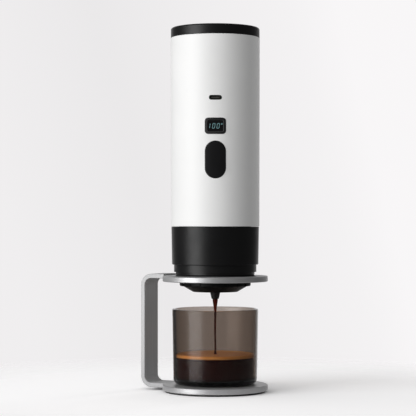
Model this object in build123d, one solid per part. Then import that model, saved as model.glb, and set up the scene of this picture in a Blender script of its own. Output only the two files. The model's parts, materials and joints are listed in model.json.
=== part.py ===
from build123d import *

import os
from math import acos, asin, cos, degrees, pi, radians, sin, tan
from typing import NamedTuple

# Portable coffee maker that stands in a plate stand over a cup.
# Millimetres, +Z up, the controls face -Y, origin at the middle of the stand's underside.


class ScrewSize(NamedTuple):
    """Radii of a screw's shank and head, and the height of its head."""
    shank: float
    head: float
    head_height: float


# Clearances
fit_gap = 0.05
slide_gap = 0.3
run_gap = 0.04
joint_gap = 0.25
cut_over = 1.0

# Stand
pad_thickness = 1.4
pad_inset = 2.0
plate_thickness = 4.5
plate_bevel = 0.5
bay_height = 83.0
strap_thickness = 3.6
strap_width = 24.0
strap_bend = 9.0
strap_bevel = 0.4
strap_turn = 25.0
strap_rise = 1.2
strap_land = 6.0
land_gap = 1.7
lap_depth = 2.0
finger_gap = 23.0
strap_screw_spread = 14.0
screw_cover = 0.4
seat_thickness = 0.6
seat_sleeve = 1.0
seat_sleeve_inset = 0.5

# Cup
cup_rim_radius = 34.8
cup_foot_radius = 33.8
cup_height = 61.0
cup_wall = 2.6
cup_base = 4.0
cup_corner = 5.0
cup_inner_corner = 3.0
cup_lip_round = 1.0
cup_foot_land = 3.0
cup_foot_hollow = 0.8

# Outlet and spout
outlet_inset = 4.6
outlet_drop = 3.6
outlet_wall = 2.0
outlet_flange = 1.2
outlet_flange_thickness = 2.0
outlet_edge = 0.6
grip_count = 18
grip_angle = 7.0
grip_width = 2.4
grip_depth = 0.9
grip_height = 2.6
cone_step = 2.5
cone_height = 4.7
cone_run = 8.1
spout_radius = 4.3
spout_tip_radius = 2.9
spout_lip_round = 1.0
spout_length = 6.0
spout_bore = 1.4
spout_flange = 1.6
spout_flange_thickness = 1.2

# Brew head
neck_step = 1.6
neck_height = 8.6
neck_foot_step = 1.5
neck_foot_height = 2.7
head_inset = 0.3
head_taper = 0.5
head_height = 30.5
head_wall = 2.0
head_edge = 0.5
web_thickness = 3.0
chamber_gap = 4.1
chamber_wall = 2.0
chamber_floor = 4.0
chamber_rise = 7.8
nipple_radius = 4.0
nipple_drop = 2.0
nipple_bore = 1.6
basket_gap = 0.2
basket_wall = 0.6
basket_depth = 24.0
basket_rim_thickness = 0.8
basket_hole_radius = 0.6
basket_hole_pitch = 4.6
valve_radius = 6.0
valve_thickness = 1.6
valve_hole = 0.5
chamber_screw_ring = 16.0
chamber_screw_count = 3
neck_screw_count = 4
neck_screw_angle = 45.0

# Bayonet
ring_recess = 0.5
ring_wall = 0.9
ledge_thickness = 2.5
lug_gap = 0.2
lug_thickness = 2.6
lug_count = 3
lug_sweep = 44.0
lug_start = 8.0
ledge_sweep = 60.0
pillar_half_sweep = 5.0
pillar_angle = 66.0
rib_height = 7.0
rib_depth = 3.4

# Shower and lower deck
group_gasket_thickness = 1.4
group_gasket_gap = 0.1
shower_gap = 1.2
shower_drop = 5.0
shower_cavity = 1.5
shower_rim = 3.5
shower_pillar = 4.0
screen_thickness = 0.8
screen_hole_radius = 0.7
screen_hole_pitch = 4.6
deck_thickness = 5.0
deck_gap = 0.3

# Shell
shell_taper = 0.35
shell_height = 152.2
shell_wall = 2.3
shell_edge = 0.3

# Lid
lid_inset = 0.15
lid_height = 7.9
lid_edge = 1.7
lid_rim_wall = 6.0
plug_flange_thickness = 2.6
plug_drop = 9.0
plug_wall = 2.0
plug_gap = 0.9
seal_cord = 1.2
seal_drop = 5.0
vent_radius = 1.2
vent_head = 3.2
vent_head_thickness = 0.8
vent_knob = 1.8
lid_screw_count = 3
lid_screw_angle = 90.0

# Tank and heater
tank_wall = 0.8
tank_gap = 1.0
tank_corner = 2.5
tank_rim_recess = 0.2
shelf_thickness = 4.0
heater_thickness = 4.0
heater_inset = 0.5
insulator_thickness = 3.0
insulator_width = 2.2
probe_radius = 2.4
pipe_radius = 2.2
pipe_bore = 1.4
pipe_flange = 1.8
pipe_flange_thickness = 1.0
pipe_drop = 8.0
tube_wall = 1.0
tube_bend = 5.5
tube_lead = 3.5
tube_top_gap = 2.0

# Battery
cell_radius = 9.2
cell_length = 65.2
cell_nub_radius = 2.8
cell_nub = 0.8
cell_wall_gap = 0.8
cell_gap = 3.7
cradle_wall = 1.2
cradle_floor = 2.0
cradle_height = 9.0
cradle_web = 4.0
foam_thickness = 1.8
foam_radius = 7.0
upper_deck_thickness = 4.0

# Posts
post_size = 6.0
side_post_angle = 28.3

# Pump and motor
gear_teeth = 11
gear_module = 1.0
gear_pressure = 28.0
gear_addendum = 0.9
gear_dedendum = 1.15
gear_thinning = 0.08
gear_width = 10.0
gear_side_gap = 0.3
gear_end_gap = 0.1
flank_points = 5
case_wall = 3.0
case_floor = 2.5
case_cell_gap = 2.7
cover_thickness = 4.0
cover_lip = 0.8
ear_reach = 4.7
ear_drop = 1.5
rear_screw_angle = 45.0
port_radius = 1.8
shaft_radius = 1.0
pin_radius = 1.5
pin_seat = 1.8
shaft_seal_radius = 3.0
shaft_seal_depth = 2.0
motor_radius = 12.2
motor_wall = 1.0
motor_length = 31.0
motor_cap = 3.2
motor_flange = 1.2
motor_board_gap = 5.6
magnet_thickness = 1.5
air_gap = 0.4
armature_length = 16.0
armature_slot = 1.6
armature_core = 4.0
armature_slots = 3
magnet_angle = 130.0

# Controls
board_setback = 4.8
board_thickness = 1.6
board_width = 28.0
board_margin = 4.5
button_width = 16.2
button_length = 29.3
button_height = 52.8
button_proud = 0.4
button_flange = 1.0
button_edge = 0.5
button_travel = 0.6
press_margin = 0.2
switch_size = 6.2
switch_floor = 0.2
plunger_radius = 1.75
plunger_sink = 0.5
display_width = 16.85
display_length = 13.0
display_corner = 2.8
display_spacing = 5.4
display_proud = 0.15
window_width = 12.4
window_length = 8.6
window_corner = 1.2
window_lip = 0.6
window_thickness = 2.6
bezel_slope = 35.0
module_thickness = 3.6
module_margin = 0.8
port_width = 10.4
port_slot = 3.76
port_spacing = 14.0
port_recess = 0.6
socket_width = 8.94
socket_height = 3.26
socket_wall = 0.3
socket_floor = 1.2
tongue_width = 6.7
tongue_thickness = 0.7
tongue_root = 1.0
tongue_recess = 0.9

# Screws
screw_share = 0.75
m3 = ScrewSize(shank=1.5, head=2.75, head_height=1.6)
m25 = ScrewSize(shank=1.25, head=2.25, head_height=1.3)
m2 = ScrewSize(shank=1.0, head=1.8, head_height=1.2)
m16 = ScrewSize(shank=0.8, head=1.4, head_height=1.0)

# Heights, from the floor up
z_floor = pad_thickness + plate_thickness
z_cup_top = z_floor + cup_height
z_upper = z_floor + bay_height
z_upper_top = z_upper + plate_thickness
z_seat = z_upper_top + seat_thickness
z_step = z_seat + neck_height
z_web_top = z_step + web_thickness
z_head_top = z_step + head_height
z_cone = z_upper - outlet_drop
z_cone_foot = z_cone - cone_height
z_shell = z_head_top + joint_gap
z_ring = z_shell + ring_recess
z_ledge_top = z_ring + ledge_thickness
z_lug = z_ledge_top + lug_gap
z_chamber = z_shell + chamber_rise
z_basket_rim = z_chamber + basket_rim_thickness
z_deck = z_basket_rim + group_gasket_gap + group_gasket_thickness
z_deck_top = z_deck + deck_thickness
z_screen = z_deck - shower_drop
z_cell = z_deck_top + cradle_floor
z_cell_top = z_cell + cell_length
z_upper_deck = z_cell_top + foam_thickness
z_upper_deck_top = z_upper_deck + upper_deck_thickness
z_heater = z_upper_deck_top + insulator_thickness
z_tank = z_heater + heater_thickness
z_tank_floor = z_tank + tank_wall
z_shell_top = z_shell + shell_height
z_tank_rim = z_shell_top - tank_rim_recess
z_shelf_top = z_tank_rim - tank_wall
z_shelf = z_shelf_top - shelf_thickness
z_lid = z_shell_top + joint_gap
z_lid_top = z_lid + lid_height
z_plug = z_lid - plug_drop
z_button = z_shell + button_height
z_display = z_button + button_length / 2 + display_spacing + display_length / 2
z_port = z_display + display_length / 2 + port_spacing + port_slot / 2

# Bore of the shell, from the pieces in line across it, back to front
gear_pitch_radius = gear_module * gear_teeth / 2
gear_tip_radius = gear_pitch_radius + gear_addendum * gear_module
gear_root_radius = gear_pitch_radius - gear_dedendum * gear_module
cavity_radius = gear_tip_radius + gear_side_gap
case_radius = cavity_radius + case_wall
battery_depth = cell_wall_gap + 2 * cell_radius + case_cell_gap
pump_depth = case_radius + 2 * gear_pitch_radius + motor_radius
board_depth = motor_board_gap + board_thickness + board_setback
bore_radius = (battery_depth + pump_depth + board_depth) / 2

# Radii and places that follow
shell_foot_radius = bore_radius + shell_wall
shell_top_radius = shell_foot_radius + shell_taper
lid_radius = shell_top_radius - lid_inset
head_top_radius = shell_foot_radius - head_inset
head_foot_radius = head_top_radius - head_taper
head_bore = head_foot_radius - head_wall
chamber_radius = head_bore - chamber_gap
neck_radius = head_foot_radius - neck_step
outlet_radius = neck_radius - outlet_inset
cone_top_radius = outlet_radius - cone_step
cone_foot_radius = cone_top_radius - cone_run
stand_core = max(cup_rim_radius, neck_radius)
strap_end = stand_core + land_gap
plate_radius = strap_end + strap_land
strap_inner = stand_core + finger_gap
strap_outer = strap_inner + strap_thickness
seat_inner = outlet_radius + slide_gap
seat_outer = seat_inner + seat_sleeve
neck_foot_radius = neck_radius - neck_foot_step
outlet_flange_radius = outlet_radius + outlet_flange
spout_seat = spout_radius - fit_gap
chamber_inner = chamber_radius - chamber_wall
basket_outer = chamber_inner - basket_gap
basket_inner = basket_outer - basket_wall
basket_rim_radius = chamber_radius - basket_gap
ring_radius = bore_radius - fit_gap
lug_radius = ring_radius - ring_wall - slide_gap
ledge_radius = chamber_radius + slide_gap
pillar_ring = (ledge_radius + ring_radius) / 2
shower_radius = basket_inner - shower_gap
deck_radius = bore_radius - deck_gap
board_front = bore_radius - board_setback
board_back = board_front - board_thickness
tank_radius = board_back - tank_gap
tank_inner = tank_radius - tank_wall
plug_flange_radius = lid_radius - lid_rim_wall - fit_gap
plug_radius = tank_inner - plug_gap
lid_screw_ring = (plug_radius + plug_flange_radius) / 2
cell_ring = bore_radius - cell_wall_gap - cell_radius
cell_step = 2 * degrees(asin((cell_radius + cell_gap / 2) / cell_ring))
cavity_height = gear_width + 2 * gear_end_gap
idler_y = cell_ring - cell_radius - case_cell_gap - case_radius
drive_y = idler_y - 2 * gear_pitch_radius
mesh_y = (idler_y + drive_y) / 2
ear_x = case_radius + ear_reach
ear_y = drive_y - ear_drop
z_cavity = z_deck_top + case_floor
z_cover = z_cavity + cavity_height
z_motor = z_cover + cover_thickness
z_motor_top = z_motor + motor_length
z_suction = z_cavity + cavity_height / 2
pipe_x = -(case_radius + tube_lead + tube_bend)
tube_bore = pipe_radius + fit_gap
tube_radius = tube_bore + tube_wall
z_pipe = z_upper_deck - pipe_drop
post_x = board_width / 2 - post_size / 2 + fit_gap
side_post_ring = deck_radius - post_size / 2 - slide_gap
switch_front = board_front + switch_floor + press_margin + button_travel + plunger_sink
button_back = switch_front + button_travel + press_margin
module_front = board_front + module_thickness
window_front = module_front + window_thickness
socket_front = shell_foot_radius - port_recess
board_low = z_button - button_length / 2 - board_margin
board_high = z_port + socket_width / 2 + board_margin
outlet_x = cavity_radius - port_radius / 2
z_armature = (z_motor + z_motor_top - armature_length) / 2
magnet_outer = motor_radius - motor_wall - fit_gap
armature_radius = magnet_outer - magnet_thickness - air_gap
heater_radius = tank_radius - tank_corner - heater_inset
seal_ring_radius = tank_inner - slide_gap - seal_cord
z_lid_seal = z_lid - seal_drop
neck_screw_ring = head_bore - fit_gap - slide_gap - m16.head

# Screw lengths
strap_screw_length = plate_thickness - screw_cover
head_screw_length = web_thickness + screw_share * chamber_floor
ring_screw_length = z_deck_top + screw_share * rib_height - z_ring - m25.head_height
pump_screw_length = cover_thickness + cavity_height + case_floor + screw_share * deck_thickness
shower_screw_length = screen_thickness + shower_drop
board_screw_length = board_thickness + screw_share * post_size
lid_screw_length = plug_flange_thickness + (lid_height - plug_flange_thickness) / 2

ON_FLOOR = (Align.CENTER, Align.CENTER, Align.MIN)
UP = (0, 0, 1)
DOWN = (0, 0, -1)
INWARD = (0, 1, 0)
REAR_ANGLE = 90.0


# Shape helpers
def polar(radius, angle):
    return radius * cos(radians(angle)), radius * sin(radians(angle))


def ring_places(radius, count, start=0.0):
    return [polar(radius, start + step * 360 / count) for step in range(count)]


def disc(radius, low, high, at=(0, 0)):
    return Pos(at[0], at[1], low) * Cylinder(radius, high - low, align=ON_FLOOR)


def tube(outer, inner, low, high, at=(0, 0)):
    return disc(outer, low, high, at) - disc(inner, low - cut_over, high + cut_over, at)


def block(x_low, x_high, y_low, y_high, z_low, z_high):
    middle = ((x_low + x_high) / 2, (y_low + y_high) / 2, (z_low + z_high) / 2)
    return Pos(*middle) * Box(x_high - x_low, y_high - y_low, z_high - z_low)


def turned(*outline):
    points = [(radius, 0, height) for radius, height in outline]
    return revolve(make_face(Polyline(*points, close=True)), Axis.Z)


def sector(inner, outer, low, high, start, sweep):
    corners = [(inner, 0, low), (outer, 0, low), (outer, 0, high), (inner, 0, high)]
    face = make_face(Polyline(*corners, close=True))
    return Rot(0, 0, start) * revolve(face, Axis.Z, revolution_arc=sweep)


def front(sketch, height, back, face, taper=0.0):
    """Push a sketch out towards the front, between two distances from the axis."""
    plane = Plane(origin=(0, -back, height), x_dir=(1, 0, 0), z_dir=(0, -1, 0))
    return extrude(plane * sketch, amount=face - back, taper=taper)


def circles_at(shape, height):
    edges = shape.edges().filter_by(GeomType.CIRCLE)
    return edges.filter_by(lambda edge: abs(edge.center().Z - height) < fit_gap)


def screw_blank(size, at, along, length, sunk, grow):
    body = disc(size.shank + grow, 0, length + grow)
    if sunk:
        body += Cone(size.head + grow, size.shank + grow, size.head_height, align=ON_FLOOR)
    else:
        body += disc(size.head + grow, -size.head_height - grow, 0)
    return Plane(origin=at, z_dir=along) * body


def screw(size, at, along, length, sunk=False):
    """A screw whose seat is at a point and whose shank runs along a direction."""
    socket_depth = size.head_height / 2
    socket_top = 0 if sunk else -size.head_height
    key = extrude(RegularPolygon(size.shank / 2, 6), amount=socket_depth)
    cutter = Plane(origin=at, z_dir=along) * Pos(0, 0, socket_top) * key
    return screw_blank(size, at, along, length, sunk, 0) - cutter


def screws(size, points, along, length, sunk=False):
    return Compound([screw(size, at, along, length, sunk) for at in points])


def screw_hole(size, at, along, length, sunk=False):
    return screw_blank(size, at, along, length, sunk, fit_gap)


def perforated(radius, pitch, hole, low, high, first_ring=0):
    """Cutters for a round field of small holes, in rings of six, twelve, eighteen and so on."""
    cutters = [] if first_ring else [disc(hole, low, high)]
    ring_count = int((radius - hole) / pitch)
    for ring in range(max(first_ring, 1), ring_count + 1):
        cutters += [disc(hole, low, high, place) for place in ring_places(ring * pitch, 6 * ring)]
    return cutters


# Stand
def strap_screw_places():
    reach = strap_end + strap_land / 2
    half = degrees(asin(strap_screw_spread / 2 / reach))
    return [polar(reach, 180 - strap_turn + side * half) for side in (-1, 1)]


def strap_screw_holes(low):
    return [screw_hole(m3, (x, y, low), UP, strap_screw_length, True) for x, y in strap_screw_places()]


def strap_screws():
    points = [(x, y, low) for x, y in strap_screw_places() for low in (pad_thickness, z_upper)]
    return screws(m3, points, UP, strap_screw_length, True)


def strap_bed(top):
    """Pocket in a plate that takes the thin end of the strap."""
    half = strap_width / 2 + fit_gap
    bed = block(-strap_outer, 0, -half, half, top - lap_depth - fit_gap, top + cut_over)
    bed -= disc(strap_end - fit_gap, z_floor - plate_thickness, z_upper_top + cut_over)
    return Rot(0, 0, -strap_turn) * bed


def base_pad():
    return disc(plate_radius - pad_inset, 0, pad_thickness)


def plate_blank(low):
    plate = disc(plate_radius, low, low + plate_thickness)
    return chamfer(plate.edges().filter_by(GeomType.CIRCLE), plate_bevel)


def lower_plate():
    plate = plate_blank(pad_thickness) - strap_bed(z_floor)
    return plate - strap_screw_holes(pad_thickness)


def upper_plate():
    plate = plate_blank(z_upper) - strap_bed(z_upper_top)
    plate -= disc(seat_outer + fit_gap, z_upper - cut_over, z_upper_top + cut_over)
    return plate - strap_screw_holes(z_upper)


def seat_ring():
    lip = tube(neck_foot_radius, seat_inner, z_upper_top, z_seat)
    return lip + tube(seat_outer, seat_inner, z_upper + seat_sleeve_inset, z_upper_top)


def handle_strap():
    low = z_floor - strap_thickness
    high = z_upper_top + strap_rise
    half = strap_width / 2
    outside = block(-strap_outer, 0, -half, half, low, high)
    outside = fillet(outside.edges().filter_by(Axis.Y).group_by(Axis.X)[0], strap_bend)
    inside = block(-strap_inner, cut_over, -strap_width, strap_width, z_floor, high - strap_thickness)
    inside = fillet(inside.edges().filter_by(Axis.Y).group_by(Axis.X)[0], strap_bend - strap_thickness)
    strap = outside - inside
    strap = chamfer(strap.faces().filter_by(Axis.Y).edges(), strap_bevel)
    strap -= disc(strap_end, low - cut_over, high + cut_over)
    for top in (z_floor, z_upper_top):
        strap -= disc(plate_radius + fit_gap, top - strap_thickness - cut_over, top - lap_depth)
    strap -= disc(plate_radius + fit_gap, z_upper_top, high + cut_over)
    strap = Rot(0, 0, -strap_turn) * strap
    return strap - (strap_screw_holes(pad_thickness) + strap_screw_holes(z_upper))


# Cup
def cup():
    body = turned(
        (0, z_floor),
        (cup_foot_radius, z_floor),
        (cup_rim_radius, z_cup_top),
        (cup_rim_radius - cup_wall, z_cup_top),
        (cup_foot_radius - cup_wall, z_floor + cup_base),
        (0, z_floor + cup_base),
    )
    body = fillet(circles_at(body, z_floor), cup_corner)
    body = fillet(circles_at(body, z_floor + cup_base), cup_inner_corner)
    body = fillet(circles_at(body, z_cup_top), cup_lip_round)
    hollow = cup_foot_radius - cup_corner - cup_foot_land
    return body - disc(hollow, z_floor, z_floor + cup_foot_hollow)


# Brew head
def outlet_cone():
    inner = outlet_radius - outlet_wall
    body = turned(
        (outlet_flange_radius, z_step),
        (outlet_flange_radius, z_step - outlet_flange_thickness),
        (outlet_radius, z_step - outlet_flange_thickness),
        (outlet_radius, z_cone + outlet_edge),
        (outlet_radius - outlet_edge, z_cone),
        (cone_top_radius, z_cone),
        (cone_foot_radius, z_cone_foot),
        (spout_radius, z_cone_foot),
        (spout_radius, z_cone_foot + outlet_wall),
        (cone_foot_radius, z_cone_foot + outlet_wall),
        (inner, z_cone + outlet_wall),
        (inner, z_step),
    )
    notch = block(
        outlet_radius - grip_depth, outlet_radius + cut_over,
        -grip_width / 2, grip_width / 2,
        z_cone - cut_over, z_cone + grip_height,
    )
    return body - [Rot(0, 0, grip_angle + step * 360 / grip_count) * notch for step in range(grip_count)]


def spout_tip():
    low = z_cone_foot - spout_length
    flange_low = z_cone_foot + outlet_wall
    tip = turned(
        (spout_bore, low),
        (spout_tip_radius, low),
        (spout_seat, z_cone_foot),
        (spout_seat, flange_low),
        (spout_seat + spout_flange, flange_low),
        (spout_seat + spout_flange, flange_low + spout_flange_thickness),
        (spout_bore, flange_low + spout_flange_thickness),
    )
    return fillet(circles_at(tip, low).sort_by(SortBy.RADIUS)[-1], spout_lip_round)


def neck_screw_points():
    return [(x, y, z_web_top) for x, y in ring_places(neck_screw_ring, neck_screw_count, neck_screw_angle)]


def chamber_screw_points():
    return [(x, y, z_step) for x, y in ring_places(chamber_screw_ring, chamber_screw_count)]


def neck_screw_holes():
    return [screw_hole(m16, at, DOWN, head_screw_length) for at in neck_screw_points()]


def chamber_screw_holes():
    return [screw_hole(m16, at, UP, head_screw_length) for at in chamber_screw_points()]


def head_screws():
    necks = [screw(m16, at, DOWN, head_screw_length) for at in neck_screw_points()]
    return Compound(necks + [screw(m16, at, UP, head_screw_length) for at in chamber_screw_points()])


def neck_ring():
    ring = disc(neck_radius, z_seat + neck_foot_height, z_step)
    ring += disc(neck_foot_radius, z_seat, z_seat + neck_foot_height)
    ring = chamfer(circles_at(ring, z_seat), neck_foot_step / 2)
    ring -= disc(outlet_radius + fit_gap, z_seat - cut_over, z_step)
    ring -= disc(outlet_flange_radius + fit_gap, z_step - outlet_flange_thickness, z_step + cut_over)
    return ring - neck_screw_holes()


def head_shell():
    outside = Pos(0, 0, z_step) * Cone(head_foot_radius, head_top_radius, head_height, align=ON_FLOOR)
    outside = chamfer(circles_at(outside, z_step), head_edge)
    shell = outside - disc(head_bore, z_web_top, z_head_top + cut_over)
    shell -= disc(nipple_radius + fit_gap, z_step - cut_over, z_web_top + cut_over)
    return shell - neck_screw_holes() - chamber_screw_holes()


def pillar_angles():
    return [pillar_angle + index * 360 / lug_count for index in range(lug_count)]


def brew_chamber():
    floor_top = z_web_top + chamber_floor
    body = disc(chamber_radius, z_web_top, z_chamber) - disc(chamber_inner, floor_top, z_chamber + cut_over)
    body += disc(nipple_radius, z_step - nipple_drop, z_web_top)
    body -= disc(nipple_bore, z_step - nipple_drop - cut_over, floor_top + cut_over)
    lug_inner = chamber_radius - cut_over
    for pillar in pillar_angles():
        start = pillar - lug_start - lug_sweep
        body += sector(lug_inner, lug_radius, z_lug, z_lug + lug_thickness, start, lug_sweep)
    return body - chamber_screw_holes()


def filter_basket():
    bottom = z_chamber - basket_depth
    basket = disc(basket_outer, bottom, z_chamber)
    basket += disc(basket_rim_radius, z_chamber, z_basket_rim)
    basket -= disc(basket_inner, bottom + basket_wall, z_basket_rim + cut_over)
    hole_top = bottom + basket_wall + cut_over
    hole_low = bottom - cut_over
    return basket - perforated(basket_inner, basket_hole_pitch, basket_hole_radius, hole_low, hole_top)


def crema_valve():
    low = z_web_top + chamber_floor
    return tube(valve_radius, valve_hole, low, low + valve_thickness)


# Lower end of the machine body
def ring_screw_points():
    return [(x, y, z_ring + m25.head_height) for x, y in ring_places(pillar_ring, lug_count, pillar_angle)]


def ring_screw_holes():
    return [screw_hole(m25, at, UP, ring_screw_length) for at in ring_screw_points()]


def bayonet_ring():
    ring = tube(ring_radius, ring_radius - ring_wall, z_ring, z_deck)
    wall_middle = ring_radius - ring_wall / 2
    sweep = ledge_sweep + pillar_half_sweep
    for pillar in pillar_angles():
        ring += sector(ledge_radius, wall_middle, z_ring, z_ledge_top, pillar - ledge_sweep, sweep)
        pillar_start = pillar - pillar_half_sweep
        ring += sector(ledge_radius, wall_middle, z_ring, z_deck, pillar_start, 2 * pillar_half_sweep)
    return ring - ring_screw_holes()


def post_places():
    front_y = -board_back + post_size / 2
    sides = [polar(side_post_ring, -side_post_angle), polar(side_post_ring, 180 + side_post_angle)]
    return [(-post_x, front_y), (post_x, front_y)], sides


def deck_screw_list(cutter):
    """Screws that hold the posts to both decks, or the holes for them."""
    fronts, sides = post_places()
    made = []
    for x, y in fronts + sides:
        made.append(cutter(m25, (x, y, z_deck), UP, deck_thickness + post_size, True))
        made.append(cutter(m25, (x, y, z_upper_deck_top), DOWN, upper_deck_thickness + post_size, True))
    return made


def pump_screw_points():
    wall_middle = cavity_radius + case_wall / 2
    rear = [polar(wall_middle, REAR_ANGLE + side * rear_screw_angle) for side in (-1, 1)]
    points = [(x, idler_y + y, z_motor) for x, y in rear]
    return points + [(side * ear_x, ear_y, z_motor + motor_flange) for side in (-1, 1)]


def pump_screw_holes():
    return [screw_hole(m2, at, DOWN, pump_screw_length) for at in pump_screw_points()]


def lower_deck():
    deck = disc(deck_radius, z_deck, z_deck_top) + disc(shower_radius, z_screen, z_deck)
    deck -= tube(shower_radius - shower_rim, shower_pillar, z_screen - cut_over, z_screen + shower_cavity)
    deck -= disc(port_radius, z_screen, z_deck_top + cut_over, (outlet_x, mesh_y))
    deck -= screw_hole(m3, (0, 0, z_screen - screen_thickness), UP, shower_screw_length)
    deck = deck - (ring_screw_holes() + pump_screw_holes())
    return deck - deck_screw_list(screw_hole)


def shower_screen():
    screen = tube(shower_radius, m3.shank + fit_gap, z_screen - screen_thickness, z_screen)
    hole_low = z_screen - screen_thickness - cut_over
    hole_high = z_screen + cut_over
    field = shower_radius - shower_rim
    first_ring = 2
    return screen - perforated(field, screen_hole_pitch, screen_hole_radius, hole_low, hole_high, first_ring)


def group_gasket():
    return tube(basket_rim_radius, shower_radius + slide_gap, z_basket_rim + group_gasket_gap, z_deck)


def deck_posts():
    fronts, sides = post_places()
    half = post_size / 2
    posts = [block(x - half, x + half, y - half, y + half, z_deck_top, z_upper_deck) for x, y in fronts]
    posts += [disc(half, z_deck_top, z_upper_deck, place) for place in sides]
    holes = deck_screw_list(screw_hole) + board_screw_holes()
    return Compound([post - holes for post in posts])


def pipe_passage(low, high, gap):
    """Cutter for the way of the tank's outlet pipe through a flat piece."""
    return disc(pipe_radius + gap, low - cut_over, high + cut_over, (pipe_x, mesh_y))


def upper_deck():
    deck = disc(deck_radius, z_upper_deck, z_upper_deck_top)
    front_edge = -board_back + fit_gap
    deck &= block(-bore_radius, bore_radius, front_edge, bore_radius, z_upper_deck, z_upper_deck_top)
    deck -= pipe_passage(z_upper_deck, z_upper_deck_top, slide_gap)
    return deck - deck_screw_list(screw_hole)


# Battery
def cell_places():
    return [polar(cell_ring, REAR_ANGLE + step * cell_step) for step in (-1, 0, 1)]


def battery_cells():
    shoulder = z_cell_top - cell_nub
    cells = []
    for place in cell_places():
        can = disc(cell_radius, z_cell, shoulder, place)
        cells.append(can + disc(cell_nub_radius, shoulder, z_cell_top, place))
    return Compound(cells)


def cell_cradle():
    outer = cell_radius + fit_gap + cradle_wall
    web_inner = cell_ring - cradle_web
    web_outer = cell_ring + cradle_web
    start = REAR_ANGLE - cell_step
    cradle = sector(web_inner, web_outer, z_deck_top, z_cell, start, 2 * cell_step)
    for place in cell_places():
        cradle += disc(outer, z_deck_top, z_deck_top + cradle_height, place)
    for place in cell_places():
        cradle -= disc(cell_radius + fit_gap, z_cell, z_deck_top + cradle_height + cut_over, place)
    return cradle & disc(deck_radius, z_deck_top, z_deck_top + cradle_height)


def foam_pads():
    shoulder = z_cell_top - cell_nub
    inner = cell_nub_radius + fit_gap
    return Compound([tube(foam_radius, inner, shoulder, z_upper_deck, place) for place in cell_places()])


# Pump
def involute(angle):
    return tan(angle) - angle


def gear(low, first_angle):
    """A spur gear with one tooth centred on an angle, drawn from the involute."""
    pressure = radians(gear_pressure)
    base = gear_pitch_radius * cos(pressure)
    half_at_pitch = (pi * gear_module / 2 - gear_thinning) / (2 * gear_pitch_radius)
    half_at_base = half_at_pitch + involute(pressure)

    def half_at(radius):
        return half_at_base - involute(acos(base / radius))

    def point(radius, angle):
        return radius * cos(angle), radius * sin(angle)

    flank_step = (gear_tip_radius - base) / (flank_points - 1)
    flank_radii = [base + step * flank_step for step in range(flank_points)]
    pitch_angle = 2 * pi / gear_teeth
    edges = []
    for tooth in range(gear_teeth):
        middle = radians(first_angle) + tooth * pitch_angle
        rising = [point(radius, middle - half_at(radius)) for radius in flank_radii]
        falling = [point(radius, middle + half_at(radius)) for radius in reversed(flank_radii)]
        root_in = point(gear_root_radius, middle - half_at_base)
        root_out = point(gear_root_radius, middle + half_at_base)
        next_root = point(gear_root_radius, middle + pitch_angle - half_at_base)
        edges.append(Line(root_in, rising[0]))
        edges.append(Spline(*rising))
        edges.append(ThreePointArc(rising[-1], point(gear_tip_radius, middle), falling[0]))
        edges.append(Spline(*falling))
        edges.append(Line(falling[-1], root_out))
        edges.append(ThreePointArc(root_out, point(gear_root_radius, middle + pitch_angle / 2), next_root))
    return Pos(0, 0, low) * extrude(make_face(edges), amount=gear_width)


def drive_gear():
    wheel = gear(z_cavity + gear_end_gap, REAR_ANGLE) - disc(shaft_radius + fit_gap, z_cavity, z_cover)
    return Pos(0, drive_y, 0) * wheel


def idler_gear():
    gap_to_drive = -REAR_ANGLE + 180 / gear_teeth
    stub = pin_seat - gear_end_gap
    wheel = gear(z_cavity + gear_end_gap, gap_to_drive)
    wheel += disc(pin_radius, z_cavity - stub, z_cover + stub)
    return Pos(0, idler_y, 0) * wheel


def oblong(radius, low, high):
    sides = block(-radius, radius, drive_y, idler_y, low, high)
    return sides + disc(radius, low, high, (0, drive_y)) + disc(radius, low, high, (0, idler_y))


def ears(low, high):
    half = m2.head + slide_gap
    bar = block(-ear_x, ear_x, ear_y - half, ear_y + half, low, high)
    return bar + disc(half, low, high, (-ear_x, ear_y)) + disc(half, low, high, (ear_x, ear_y))


def pump_case():
    case = oblong(case_radius, z_deck_top, z_cover) + ears(z_deck_top, z_cover)
    nipple_plane = Plane(origin=(-case_radius + cut_over, mesh_y, z_suction), z_dir=(-1, 0, 0))
    case += nipple_plane * Cylinder(pipe_radius, tube_lead + cut_over, align=ON_FLOOR)
    case -= disc(cavity_radius, z_cavity, z_cover + cut_over, (0, drive_y))
    case -= disc(cavity_radius, z_cavity, z_cover + cut_over, (0, idler_y))
    inlet_plane = Plane(origin=(0, mesh_y, z_suction), z_dir=(-1, 0, 0))
    case -= inlet_plane * Cylinder(pipe_bore, case_radius + tube_lead + cut_over, align=ON_FLOOR)
    outlet_plane = Plane(origin=(0, mesh_y, z_suction), z_dir=(1, 0, 0))
    case -= outlet_plane * Cylinder(port_radius, outlet_x, align=ON_FLOOR)
    case -= disc(port_radius, z_deck_top - cut_over, z_suction, (outlet_x, mesh_y))
    case -= disc(pin_radius + run_gap, z_cavity - pin_seat, z_cavity + cut_over, (0, idler_y))
    return case - pump_screw_holes()


def pump_cover():
    axis = (0, drive_y)
    cover = oblong(case_radius, z_cover, z_motor) + ears(z_cover, z_motor)
    cover += disc(motor_radius + cover_lip, z_cover, z_motor, axis)
    cover -= disc(shaft_radius + run_gap, z_cover - cut_over, z_motor + cut_over, axis)
    cover -= disc(shaft_seal_radius + fit_gap, z_motor - shaft_seal_depth, z_motor + cut_over, axis)
    cover -= disc(pin_radius + run_gap, z_cover - cut_over, z_cover + pin_seat, (0, idler_y))
    return cover - pump_screw_holes()


def shaft_seal():
    low = z_motor - shaft_seal_depth
    return tube(shaft_seal_radius, shaft_radius + run_gap, low, z_motor, (0, drive_y))


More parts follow.
